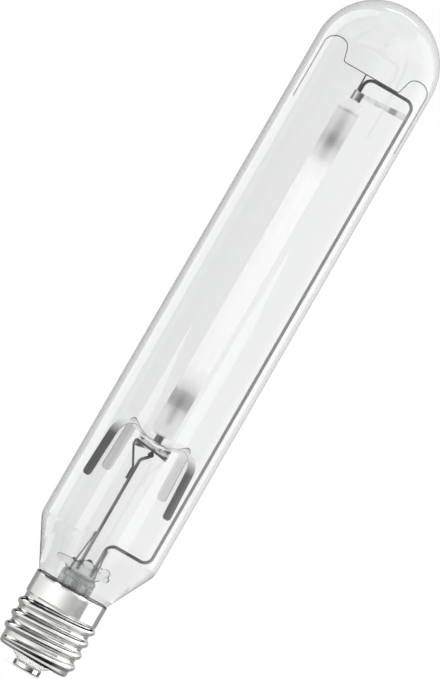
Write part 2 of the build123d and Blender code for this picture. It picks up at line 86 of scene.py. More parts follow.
# Reflectors: degrees from the front towards the right, tone; CARD_GLOW times a tone of 0.2 is white
CARD_GLOW = 5.0
BULB_TONES = (
    (-180.0, 0.10), (-158.0, 0.06), (-146.0, 0.00), (-129.0, 0.00), (-126.5, 0.42), (-101.0, 0.42),
    (-98.0, 0.00), (-25.0, 0.06), (0.0, 0.16), (15.0, 0.28), (70.0, 0.36), (92.0, 0.38),
    (104.0, 0.50), (128.0, 0.46), (136.0, 0.20), (155.0, 0.16), (180.0, 0.08),
)
CONE_TONES = (
    (-180.0, 0.03), (-100.0, 0.01), (-96.0, 0.32), (-74.0, 0.32), (-71.0, 0.00), (-38.0, 0.02),
    (-35.0, 0.36), (-25.0, 0.36), (-22.0, 0.05), (0.0, 0.12), (18.0, 0.20), (19.0, 0.54),
    (34.0, 0.54), (36.0, 0.36), (90.0, 0.36), (108.0, 0.12), (120.0, 0.05), (180.0, 0.03),
)
CAP_TONES = (
    (-180.0, 0.06), (-128.0, 0.08), (-117.0, 0.17), (-88.0, 0.20), (-72.0, 0.23), (-44.0, 0.29),
    (-18.0, 0.25), (0.0, 0.168), (18.0, 0.112), (44.0, 0.078), (63.5, 0.078), (65.0, 0.34),
    (121.0, 0.34), (124.0, 0.08), (180.0, 0.06),
)
CONTACT_TONES = (
    (-88.2, 0.03), (-77.28, 0.20), (-58.8, 0.24), (-38.64, 0.42), (-21.0, 0.38), (0.0, 0.12),
    (16.8, 0.05), (25.2, 0.02), (40.32, 0.02), (45.36, 0.48), (75.6, 0.48), (82.32, 0.04),
)
FLAG_TONES = ((-180.0, 0.07), (-60.0, 0.06), (-20.0, 0.02), (10.0, 0.004), (40.0, 0.004), (70.0, 0.05))
FLOOR_TONES = ((-180.0, 0.08), (-116.0, 0.08), (-96.0, 0.20), (96.0, 0.20), (108.0, 0.09), (180.0, 0.08))
FILL_TONES = (
    (-180.0, 0.20), (-95.0, 0.20), (-85.0, 0.26), (-10.0, 0.22), (10.0, 0.06), (85.0, 0.03), (95.0, 0.20),
)


# Sizes and colours


def length(name, description, size):
    """A length, given in millimetres."""
    return bpy.props.FloatProperty(name=name, description=description, default=size * MM, unit="LENGTH")


def colour(name, description, value):
    """A colour of a finish."""
    return bpy.props.FloatVectorProperty(name=name, description=description, default=value, subtype="COLOR")


def number(name, description, value):
    """A plain number."""
    return bpy.props.FloatProperty(name=name, description=description, default=value)


class CapSettings(bpy.types.PropertyGroup):
    """Sizes of the screw cap that the solids don't give as a box."""

    pitch: length("Thread Pitch", "Rise of the thread in one turn", 6.35)
    depth: length("Thread Depth", "Crest to root", 1.85)
    first_crest: length("First Crest", "Height of the first full crest", 12.25)
    turns: number("Turns", "Turns at full depth", 3.0)
    fade: number("Run-out", "Turns of run-out at the foot", 0.5)
    head_fade: number("Run-out Into The Skirt", "Turns over which the thread sinks into the skirt", 0.5)
    sheet: length("Sheet", "Wall of the rolled shell", 0.45)
    skirt_foot: length("Skirt Foot", "Height where the plain skirt starts", 33.475)
    skirt_radius: length("Skirt Radius", "Outside of the skirt", 18.7)
    mouth_radius: length("Mouth Radius", "Hole in the shell's bottom", 10.9)


class GlassSettings(bpy.types.PropertyGroup):
    """Sizes of the outer bulb and the stem."""

    wall: length("Wall", "Thickness of the bulb", 1.3)
    neck_radius: length("Neck Radius", "Outside of the neck in the cap", 17.1)
    rim: length("Rim", "Height of the cap's rim", 44.675)
    rim_radius: length("Radius at the Rim", "Glass at the rim of the cap", 18.1)
    cone: length("Cone", "Rim to shoulder", 24.0)
    stem_radius: length("Stem Radius", "Outside of the stem tube", 8.8)
    stem_top: length("Stem Top", "Height of the end of the stem tube", 52.275)


class ArcTubeSettings(bpy.types.PropertyGroup):
    """Sizes of the ceramic arc tube."""

    wall: length("Wall", "Thickness of the ceramic", 0.8)
    edge: length("Edge", "Rounding of the tube's ends", 0.25)


class ColourSettings(bpy.types.PropertyGroup):
    """Colours of the finishes."""

    nickel: colour("Nickel", "Plated cap", (0.80, 0.80, 0.79))
    contact: colour("Contact", "Tinned contact", (0.66, 0.66, 0.65))
    glaze: colour("Glaze", "Insulator of the cap", (0.80, 0.80, 0.79))
    glass: colour("Glass", "What the bulb's glass lets through", (0.79, 0.80, 0.797))
    glass_density: number("Glass Density", "Strength of the bulb's tint, per metre", 300.0)
    stem: colour("Stem Glass", "What the stem's glass lets through", (0.84, 0.85, 0.847))
    stem_density: number("Stem Density", "Strength of the stem's tint, per metre", 200.0)
    wire: colour("Wire", "Rods of the frame", (0.045, 0.045, 0.047))
    strip: colour("Strip", "Bright rolled strip", (0.86, 0.86, 0.86))
    # Painted reflection: the springs' outer faces are dark and their inner faces bright from what they face;
    # the metal is one.
    spring_painted_dark: colour("Spring, Outer Face", "Blackened outer face", (0.085, 0.085, 0.085))
    spring_painted_light: colour("Spring, Inner Face", "Bright inner face", (0.70, 0.70, 0.70))
    ceramic: colour("Ceramic", "Arc tube", (0.97, 0.97, 0.965))


class LampSettings(bpy.types.PropertyGroup):
    """All settings of the lamp."""

    cap: bpy.props.PointerProperty(type=CapSettings)
    bulb: bpy.props.PointerProperty(type=GlassSettings)
    arc: bpy.props.PointerProperty(type=ArcTubeSettings)
    colours: bpy.props.PointerProperty(type=ColourSettings)


# Materials


def grey(value):
    """A grey as a colour."""
    return (value, value, value)


def shade(tint, factor):
    """A colour made darker or brighter."""
    return tuple(channel * factor for channel in tint)


class Tree:
    """Short ways to add nodes to a node tree."""

    def __init__(self, tree):
        self.nodes = tree.nodes
        self.links = tree.links

    def node(self, kind, **values):
        """Adds a node and sets its properties or its input sockets, with _ for a space."""
        node = self.nodes.new(kind)
        for name, value in values.items():
            if name in node.bl_rna.properties:
                setattr(node, name, value)
            else:
                node.inputs[name.replace("_", " ")].default_value = value
        return node

    def feed(self, socket, value):
        """Gives an input a number, a colour, a vector or another node's output."""
        if isinstance(value, (int, float)):
            socket.default_value = value
        elif isinstance(value, tuple):
            socket.default_value = (*value, 1.0) if socket.type == "RGBA" else value
        else:
            self.links.new(value, socket)

    def operate(self, kind, operation, first, second):
        """Outputs of a node that works on two inputs."""
        node = self.node(kind, operation=operation)
        self.feed(node.inputs[0], first)
        self.feed(node.inputs[1], second)
        return node.outputs

    def math(self, operation, first, second=0.0):
        """Math on outputs or numbers."""
        return self.operate("ShaderNodeMath", operation, first, second)["Value"]

    def vector(self, operation, first, second=(0.0, 0.0, 0.0)):
        """Vector math; a length or a dot product comes out as a value."""
        result = "Value" if operation in ("LENGTH", "DOT_PRODUCT") else "Vector"
        return self.operate("ShaderNodeVectorMath", operation, first, second)[result]

    def remap(self, value, low, high, to_low=0.0, to_high=1.0):
        """A value from one range to another, held at the ends."""
        node = self.node("ShaderNodeMapRange", From_Min=low, From_Max=high, To_Min=to_low, To_Max=to_high)
        self.links.new(value, node.inputs["Value"])
        return node.outputs["Result"]

    def blend(self, factor, first, second):
        """Mix of two shaders."""
        node = self.node("ShaderNodeMixShader")
        for socket, value in zip(node.inputs, (factor, first, second)):
            self.links.new(value, socket)
        return node.outputs["Shader"]

    def seen(self):
        """1 for what the camera sees, by itself, in a mirror or through glass."""
        path = self.node("ShaderNodeLightPath").outputs
        seen = self.math("MAXIMUM", path["Is Camera Ray"], path["Is Glossy Ray"])
        return self.math("MAXIMUM", seen, path["Is Transmission Ray"])


class Finish(Tree):
    """A material with its surface shader."""

    def __init__(self, name):
        self.material = bpy.data.materials.new(name)
        self.material.use_nodes = True
        super().__init__(self.material.node_tree)
        self.shader = self.nodes["Principled BSDF"]
        self.output = self.nodes["Material Output"]

    def set(self, **values):
        """Sets sockets of the shader by name, with _ for a space."""
        for name, value in values.items():
            self.feed(self.shader.inputs[name.replace("_", " ")], value)
        return self

    def link(self, value, socket):
        """Joins a value to a socket of the shader."""
        self.links.new(value, self.shader.inputs[socket])

    def surface(self, shader):
        """Shows a shader on the surface."""
        self.links.new(shader, self.output.inputs["Surface"])

    def clear(self, tint=(1.0, 1.0, 1.0)):
        """A shader that lets everything through."""
        return self.node("ShaderNodeBsdfTransparent", Color=(*tint, 1.0)).outputs["BSDF"]

    def place(self):
        """Object coordinates."""
        return self.node("ShaderNodeTexCoord").outputs["Object"]

    def normal(self):
        """Normal in object coordinates."""
        return self.node("ShaderNodeTexCoord").outputs["Normal"]

    def axis(self, name, vector=None):
        """One part of a vector, or of the object coordinates in metres."""
        split = self.node("ShaderNodeSeparateXYZ")
        self.links.new(self.place() if vector is None else vector, split.inputs["Vector"])
        return split.outputs[name]

    def outwards(self):
        """The way from the lamp's axis to the place."""
        return self.vector("MULTIPLY", self.place(), (1.0, 1.0, 0.0))

    def stretched(self, scale):
        """Object coordinates with a scale for each axis."""
        mapping = self.node("ShaderNodeMapping", Scale=scale)
        self.links.new(self.place(), mapping.inputs["Vector"])
        return mapping.outputs["Vector"]

    def noise(self, scale, vector, detail):
        """Noise value on a vector."""
        noise = self.node("ShaderNodeTexNoise", Scale=scale, Detail=detail, Roughness=0.55)
        self.links.new(vector, noise.inputs["Vector"])
        return noise.outputs["Fac"]

    def ramp(self, value, stops, interpolation="LINEAR"):
        """Colour ramp with (place, grey or colour) stops."""
        ramp = self.node("ShaderNodeValToRGB")
        ramp.color_ramp.interpolation = interpolation
        elements = ramp.color_ramp.elements
        for index, (place, tone) in enumerate(stops):
            element = elements[index] if index < 2 else elements.new(place)
            element.position = place
            element.color = (*(grey(tone) if isinstance(tone, (int, float)) else tone), 1.0)
        self.links.new(value, ramp.inputs["Fac"])
        return ramp.outputs["Color"]

    def mix(self, factor, first, second, blend="MIX"):
        """Mix of two colours, each an output or a colour."""
        mix = self.node("ShaderNodeMix", data_type="RGBA", blend_type=blend)
        first_input, second_input = [socket for socket in mix.inputs if socket.type == "RGBA"]
        self.feed(mix.inputs[0], factor)
        self.feed(first_input, first)
        self.feed(second_input, second)
        return [socket for socket in mix.outputs if socket.type == "RGBA"][0]

    def multiply(self, first, second):
        """Product of two colours."""
        return self.mix(1.0, first, second, "MULTIPLY")

    def bump(self, height, strength, distance):
        """Bump from a height."""
        bump = self.node("ShaderNodeBump", Strength=strength, Distance=distance)
        self.links.new(height, bump.inputs["Height"])
        self.link(bump.outputs["Normal"], "Normal")

    def absorb(self, tint, density):
        """Tint that grows with the way through the glass."""
        volume = self.node("ShaderNodeVolumeAbsorption", Color=(*tint, 1.0), Density=density)
        self.links.new(volume.outputs["Volume"], self.output.inputs["Volume"])

    def pass_light(self, tint):
        """Lets lamp light through glass without bending it."""
        shadow = self.node("ShaderNodeLightPath").outputs["Is Shadow Ray"]
        self.surface(self.blend(shadow, self.shader.outputs["BSDF"], self.clear(tint)))


def nickel_finish(tint, skirt_foot, rim, root, crest):
    """Bright nickel on the thread with painted shade on its flanks, satin on the skirt, a painted shadow line
    at the rim, with fine rolling marks.
    """
    finish = Finish("nickel plate").set(Metallic=1.0)
    height = finish.axis("Z")
    marks = finish.noise(900.0, finish.stretched((0.15, 0.15, 3.0)), 3.0)
    clouds = finish.noise(160.0, finish.place(), 5.0)
    satin = finish.remap(height, skirt_foot, skirt_foot + 1.0 * MM, 0.07, 0.11)
    finish.link(finish.math("ADD", satin, finish.remap(clouds, 0.35, 0.7, 0.0, 0.06)), "Roughness")
    plate = finish.ramp(clouds, [(0.3, shade(tint, 0.94)), (0.7, tint)])
    # Painted shade: the thread's flanks are darkened between root and crest, standing for shade and dark
    # reflections in the grooves.
    painted_flank_shade = finish.ramp(
        finish.remap(finish.vector("LENGTH", finish.outwards()), root, crest),
        [(0.0, 1.0), (0.10, 0.90), (0.35, 0.74), (0.62, 0.90), (0.82, 1.0)],
    )
    threaded = finish.remap(height, skirt_foot - 1.5 * MM, skirt_foot, 1.0, 0.0)
    rolled = finish.mix(threaded, plate, finish.multiply(plate, painted_flank_shade))
    # Painted shadow: a thin dark line just under the rim, standing for the shadow gap there.
    edge = finish.remap(height, rim - 0.8 * MM, rim - 0.5 * MM)
    finish.link(finish.mix(edge, rolled, grey(0.20)), "Base Color")
    finish.bump(marks, 0.05, 0.05 * MM)
    return finish.material


def contact_finish(tint):
    """Tinned contact with turning rings."""
    finish = Finish("contact metal").set(Base_Color=tuple(tint), Metallic=1.0)
    clouds = finish.noise(260.0, finish.place(), 5.0)
    finish.link(finish.remap(clouds, 0.3, 0.7, 0.05, 0.12), "Roughness")
    finish.bump(finish.noise(700.0, finish.stretched((0.2, 0.2, 2.0)), 2.0), 0.012, 0.05 * MM)
    return finish.material


def glaze_finish(tint):
    """Glazed insulator, off-white with faint specks."""
    finish = Finish("glazed insulator").set(Roughness=0.22, Coat_Weight=0.5, Coat_Roughness=0.08)
    specks = finish.noise(1400.0, finish.place(), 2.0)
    finish.link(finish.ramp(specks, [(0.30, shade(tint, 0.86)), (0.42, tint)]), "Base Color")
    finish.bump(finish.noise(300.0, finish.place(), 3.0), 0.08, 0.1 * MM)
    return finish.material


def cement_finish():
    """Grainy capping cement."""
    finish = Finish("capping cement").set(Roughness=0.9)
    grains = finish.noise(2200.0, finish.place(), 6.0)
    finish.link(finish.ramp(grains, [(0.3, (0.45, 0.43, 0.40)), (0.7, (0.62, 0.60, 0.56))]), "Base Color")
    finish.bump(grains, 0.4, 0.2 * MM)
    return finish.material


def glass_finish(name, tint, density, wave, grey_below=None):
    """Clear glass with the slight waves of blown tube, a little greyer below a height if that is given."""
    finish = Finish(name).set(Base_Color=grey(1.0), Transmission_Weight=1.0, Roughness=0.0, IOR=1.5)
    finish.bump(finish.noise(35.0, finish.stretched((1.0, 1.0, 0.35)), 1.0), wave, 0.4 * MM)
    if grey_below is not None:
        clear = finish.remap(finish.axis("Z"), grey_below - 6.0 * MM, grey_below + 8.0 * MM)
        finish.link(finish.ramp(clear, [(0.0, 0.955), (1.0, 1.0)]), "Base Color")
    finish.absorb(tint, density)
    finish.pass_light(grey(0.9))
    return finish.material


def stem_finish(tint, density, top):
    """Stem glass: dull in the tube, greyed there by streaks and by painted shade down its middle; clear and
    lumpy in the press, frosted in its middle.
    """
    finish = Finish("stem glass").set(Transmission_Weight=1.0, IOR=1.5)
    height = finish.axis("Z")
    across = finish.math("ABSOLUTE", finish.axis("X"))
    streaks = finish.noise(120.0, finish.stretched((1.0, 1.0, 0.25)), 1.0)
    # Grey streaks, and painted shade down the middle of the tube for the dark parts seen behind it.
    streaks_and_painted_shade = finish.multiply(
        finish.ramp(streaks, [(0.42, 0.74), (0.50, 0.94), (0.58, 1.0)]),
        finish.remap(across, 0.8 * MM, 2.4 * MM, 0.66, 1.0),
    )
    melted = finish.remap(height, top - 1.0 * MM, top + 0.6 * MM)
    finish.link(finish.mix(melted, streaks_and_painted_shade, grey(1.0)), "Base Color")
    mound = finish.math(
        "MULTIPLY",
        finish.remap(across, 5.0 * MM, 9.0 * MM, 1.0, 0.0),
        finish.remap(height, top + 3.5 * MM, top + 7.5 * MM, 1.0, 0.0),
    )
    frosted = finish.math("MULTIPLY", finish.math("MULTIPLY", mound, melted), 0.50)
    dull = finish.remap(height, top - 1.0 * MM, top + 0.6 * MM, 0.25, 0.05)
    finish.link(finish.math("ADD", frosted, dull), "Roughness")
    finish.bump(finish.noise(260.0, finish.place(), 2.0), 0.25, 0.4 * MM)
    finish.absorb(tint, density)
    return finish.material


def wire_finish(name, tint, bright_to=None, dark_from=None):
    """Drawn wire with oxide clouds and lengthwise lines, lighter up to a height and darker from another."""
    finish = Finish(name).set(Metallic=1.0)
    clouds = finish.noise(220.0, finish.stretched((1.0, 1.0, 0.3)), 5.0)
    lines = finish.noise(2600.0, finish.stretched((1.0, 1.0, 0.05)), 2.0)
    face = finish.ramp(clouds, [(0.3, shade(tint, 0.7)), (0.7, shade(tint, 1.3))])
    if bright_to is not None:
        # Lighter grey below a height.
        lighter_below = finish.remap(finish.axis("Z"), bright_to - 8.0 * MM, bright_to, 1.0, 0.0)
        face = finish.mix(lighter_below, face, grey(0.36))
    if dark_from is not None:
        # Darker above a height.
        darker_above = finish.remap(finish.axis("Z"), dark_from, dark_from + 3.0 * MM)
        face = finish.mix(darker_above, face, shade(tint, 0.2))
    finish.link(face, "Base Color")
    finish.link(finish.remap(clouds, 0.3, 0.7, 0.30, 0.46), "Roughness")
    finish.bump(lines, 0.12, 0.05 * MM)
    return finish.material


def strip_finish(name, tint):
    """Rolled strip with fine lines and faint stains."""
    finish = Finish(name).set(Metallic=1.0)
    stains = finish.noise(180.0, finish.place(), 5.0)
    lines = finish.noise(1800.0, finish.stretched((0.1, 0.1, 1.0)), 2.0)
    finish.link(finish.ramp(stains, [(0.30, shade(tint, 0.72)), (0.55, tint)]), "Base Color")
    finish.link(finish.remap(lines, 0.3, 0.7, 0.16, 0.3), "Roughness")
    finish.bump(lines, 0.08, 0.05 * MM)
    return finish.material


def ribbon_finish(start, end, blotch):
    """Bright ribbon with a painted reflection, dark at both sides of its clip round the tube and lighter
    between, dark at the weld on the rod, with a grey blotch between.
    """
    finish = Finish("ribbon").set(Metallic=0.35, Roughness=0.3)
    # Painted reflection: dark at both sides of the loop round the tube, lighter between.
    painted_clip_reflection = [(start, 0.15), (-1.4 * MM, 0.15), (-1.0 * MM, 0.75), (1.5 * MM, 0.75)]
    edge = [(1.9 * MM, 0.20), (2.7 * MM, 0.20), (3.2 * MM, 0.66)]
    # A grey blotch between the clip and the weld.
    blotch_tones = [(-2.6 * MM, 0.68), (-1.2 * MM, 0.26), (1.2 * MM, 0.26), (2.6 * MM, 0.66)]
    weld = [(end - 1.9 * MM, 0.62), (end - 1.4 * MM, 0.10), (end, 0.10)]
    tones = painted_clip_reflection + edge + [(blotch + away, tone) for away, tone in blotch_tones] + weld
    stops = [((place - start) / (end - start), tone) for place, tone in tones]
    bands = finish.ramp(finish.remap(finish.axis("X"), start, end), stops)
    stains = finish.noise(420.0, finish.place(), 3.0)
    finish.link(finish.multiply(bands, finish.ramp(stains, [(0.36, 0.72), (0.5, 1.0)])), "Base Color")
    finish.bump(stains, 0.15, 0.1 * MM)
    return finish.material


def folded_finish(name, tint):
    """Folded strip: bright with sharp dark streaks, with painted dark outlines on its cut edges."""
    finish = Finish(name).set(Metallic=1.0, Roughness=0.16)
    streaks = finish.noise(330.0, finish.stretched((1.0, 1.0, 2.2)), 2.0)
    face = finish.ramp(streaks, [(0.40, shade(tint, 0.12)), (0.48, shade(tint, 0.8)), (0.6, tint)])
    # Painted shade: faces turned up or down, the cut edges, are darkened to draw outlines.
    cut = finish.remap(finish.math("ABSOLUTE", finish.axis("Z", finish.normal())), 0.45, 0.7)
    finish.link(finish.mix(cut, face, shade(tint, 0.22)), "Base Color")
    finish.bump(streaks, 0.3, 0.3 * MM)
    return finish.material


def leaf_finish(name, colours, top, painted_side_light, bend_edge_shade):
    """Spring strip with painted reflections, dark on its outer face and bright on its inner face, a painted
    highlight near its bend, and painted grey outlines on its edges with a grey of their own near the bend.
    """
    finish = Finish(name).set(Metallic=1.0)
    normal = finish.normal()
    outwards = finish.outwards()
    unit = finish.vector("NORMALIZE", outwards)
    # Painted reflection: faces turned outwards get the dark colour, faces turned inwards the bright one.
    outer = finish.remap(finish.vector("DOT_PRODUCT", normal, unit), 0.05, 0.35)
    # Painted highlight: bright grey towards the top bend.
    fade = finish.remap(finish.axis("Z"), top - 9.0 * MM, top - 2.0 * MM, 1.0, 0.0)
    streaks = finish.noise(1500.0, finish.stretched((1.0, 1.0, 0.06)), 3.0)
    black = colours.spring_painted_dark
    dark = finish.ramp(streaks, [(0.3, shade(black, 0.8)), (0.7, shade(black, 1.35))])
    white = shade(colours.spring_painted_light, painted_side_light)
    light = finish.ramp(streaks, [(0.3, shade(white, 0.9)), (0.7, white)])
    bright = finish.mix(fade, grey(0.95), light)
    face = finish.mix(finish.math("MULTIPLY", outer, fade), bright, dark)
    # Painted outlines: faces turned sideways get a grey of their own, another near the bend.
    sideways = finish.vector("CROSS_PRODUCT", unit, (0.0, 0.0, 1.0))
    cut = finish.remap(finish.math("ABSOLUTE", finish.vector("DOT_PRODUCT", normal, sideways)), 0.6, 0.8)
    near_bend = finish.remap(finish.vector("LENGTH", outwards), 16.0 * MM, 20.0 * MM)
    edge = finish.mix(near_bend, grey(0.55), grey(bend_edge_shade))
    finish.link(finish.mix(cut, face, edge), "Base Color")
    finish.link(finish.remap(streaks, 0.3, 0.7, 0.30, 0.42), "Roughness")
    finish.bump(streaks, 0.06, 0.05 * MM)
    return finish.material


def arc_tube_finish(tint, bottom, top):
    """Translucent alumina, greyed round the electrodes by deposits and by painted shade of the electrodes seen
    through it, with a painted shadow streak over the lower electrode.
    """
    finish = Finish("arc tube alumina").set(Transmission_Weight=0.30, Roughness=0.4, IOR=1.28)
    along = finish.remap(finish.axis("Z"), bottom, top)
    across = finish.math("ABSOLUTE", finish.axis("X"))
    span = (top - bottom) / MM
    stops = [(place / span, shade(tint, tone)) for place, tone in LOWER_DEPOSIT_AND_SHADE]
    stops += [(1 - place / span, shade(tint, tone)) for place, tone in UPPER_DEPOSIT_AND_SHADE]
    clouds = finish.remap(finish.noise(300.0, finish.place(), 3.0), 0.3, 0.7, -1.0, 1.0)
    unrest = finish.remap(along, 0.3, 0.6, 0.004, 0.0015)
    wobble = finish.math("ADD", along, finish.math("MULTIPLY", clouds, unrest))
    # Painted shade: in the upper half the greying is strongest down the middle, where the electrode shows
    # through.
    middle = finish.remap(across, 1.0 * MM, 3.2 * MM, 1.0, 0.62)
    middle = finish.math("MAXIMUM", middle, finish.remap(along, 0.3, 0.5, 1.0, 0.0))
    deposit_and_shade = finish.mix(middle, tuple(tint), finish.ramp(wobble, stops, "EASE"))
    # Painted shadow of the lower electrode: a dark streak down the middle.
    rod = finish.ramp(along, [(place / span, strength) for place, strength in ELECTRODE_SHADOW_STREAK])
    electrode_shadow = finish.math("MULTIPLY", rod, finish.remap(across, 0.2 * MM, 2.6 * MM, 1.0, 0.0))
    finish.link(finish.mix(electrode_shadow, deposit_and_shade, finish.multiply(deposit_and_shade, grey(0.66))), "Base Color")
    finish.bump(finish.noise(2500.0, finish.place(), 3.0), 0.12, 0.05 * MM)
    return finish.material


def bore_finish():
    """Polished bore of the arc tube."""
    finish = Finish("arc tube bore")
    return finish.set(Base_Color=grey(1.0), Transmission_Weight=1.0, Roughness=0.2, IOR=1.28).material


def alumina_finish(name, tint, roughness):
    """Dense ceramic of plugs and seals."""
    finish = Finish(name).set(Roughness=roughness)
    grains = finish.noise(1800.0, finish.place(), 4.0)
    finish.link(finish.ramp(grains, [(0.3, shade(tint, 0.93)), (0.7, tint)]), "Base Color")
    finish.bump(grains, 0.1, 0.05 * MM)
    return finish.material


def dress(names, material):
    """Gives CAD nodes a material."""
    for name in names:
        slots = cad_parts[name].material_slots
        if not slots:
            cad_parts[name].data.materials.append(material)
        for slot in slots:
            slot.material = material


# Modelling


def object_mode():
    """Leaves edit mode."""
    if bpy.context.object and bpy.context.object.mode != "OBJECT":
        bpy.ops.object.mode_set(mode="OBJECT")


def deselect():
    """Leaves edit mode and deselects every object."""
    object_mode()
    bpy.ops.object.select_all(action="DESELECT")


def finish_piece(name, material, slot, *nodes):
    """Names the active object, dresses it, and lets it ride and stand for its nodes."""
    object_mode()
    piece = bpy.context.object
    piece.name = name
    piece.data.name = name
    piece.data.materials.clear()
    piece.data.materials.append(material)
    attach(piece, BODY)
    if nodes:
        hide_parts(*nodes)
    return piece


def draw_line(points):
    """A line of edges through (radius, height) points, drawn by extruding a vertex."""
    deselect()
    bpy.ops.mesh.primitive_plane_add(size=0.001)
    bpy.ops.object.mode_set(mode="EDIT")
    bpy.ops.mesh.select_all(action="SELECT")
    bpy.ops.mesh.merge(type="CENTER")
    bpy.ops.transform.translate(value=(points[0][0], 0.0, points[0][1]))
    for before, after in zip(points, points[1:]):
        step = (after[0] - before[0], 0.0, after[1] - before[1])
        bpy.ops.mesh.extrude_region_move(TRANSFORM_OT_translate={"value": step})


def turn(points, steps):
    """A turned piece from a line of points about the z axis, left in edit mode."""
    draw_line(points)
    bpy.ops.mesh.select_all(action="SELECT")
    bpy.ops.mesh.spin(steps=steps, angle=2 * math.pi, center=(0, 0, 0), axis=(0, 0, 1))
    bpy.ops.mesh.select_all(action="SELECT")
    bpy.ops.mesh.remove_doubles(threshold=1e-6)
    bpy.ops.mesh.normals_make_consistent(inside=False)


def smooth(angle):
    """Smooth shading with sharp edges above an angle."""
    bpy.ops.object.mode_set(mode="OBJECT")
    bpy.ops.object.shade_smooth_by_angle(angle=math.radians(angle))


def arc(centre, radius, start, end, steps):
    """Points on an arc in the plane of radius and height; angles in degrees from the radius."""
    points = []
    for step in range(steps + 1):
        angle = math.radians(start + (end - start) * step / steps)
        points.append((centre[0] + radius * math.cos(angle), centre[1] + radius * math.sin(angle)))
    return points


def rise(radius, bottom, top, rows):
    """Points straight up at a radius, without the lowest."""
    return [(radius, bottom + (top - bottom) * row / rows) for row in range(1, rows + 1)]


def rounded(points, radii, steps):
    """Points with their inner corners replaced by arcs."""
    line = [Vector(points[0])]
    for before, corner, after, radius in zip(points, points[1:], points[2:], radii):
        corner = Vector(corner)
        back = (Vector(before) - corner).normalized()
        ahead = (Vector(after) - corner).normalized()
        half = back.angle(ahead) / 2
        if radius <= 0 or abs(half - math.pi / 2) < 1e-4:
            line.append(corner)
            continue
        centre = corner + (back + ahead).normalized() * (radius / math.sin(half))
        reach = radius / math.tan(half)
        first = corner + back * reach - centre
        last = corner + ahead * reach - centre
        sweep = first.angle_signed(last)
        for step in range(steps + 1):
            line.append(centre + Matrix.Rotation(-sweep * step / steps, 2) @ first)
    line.append(Vector(points[-1]))
    return [tuple(point) for point in line]


# Operators


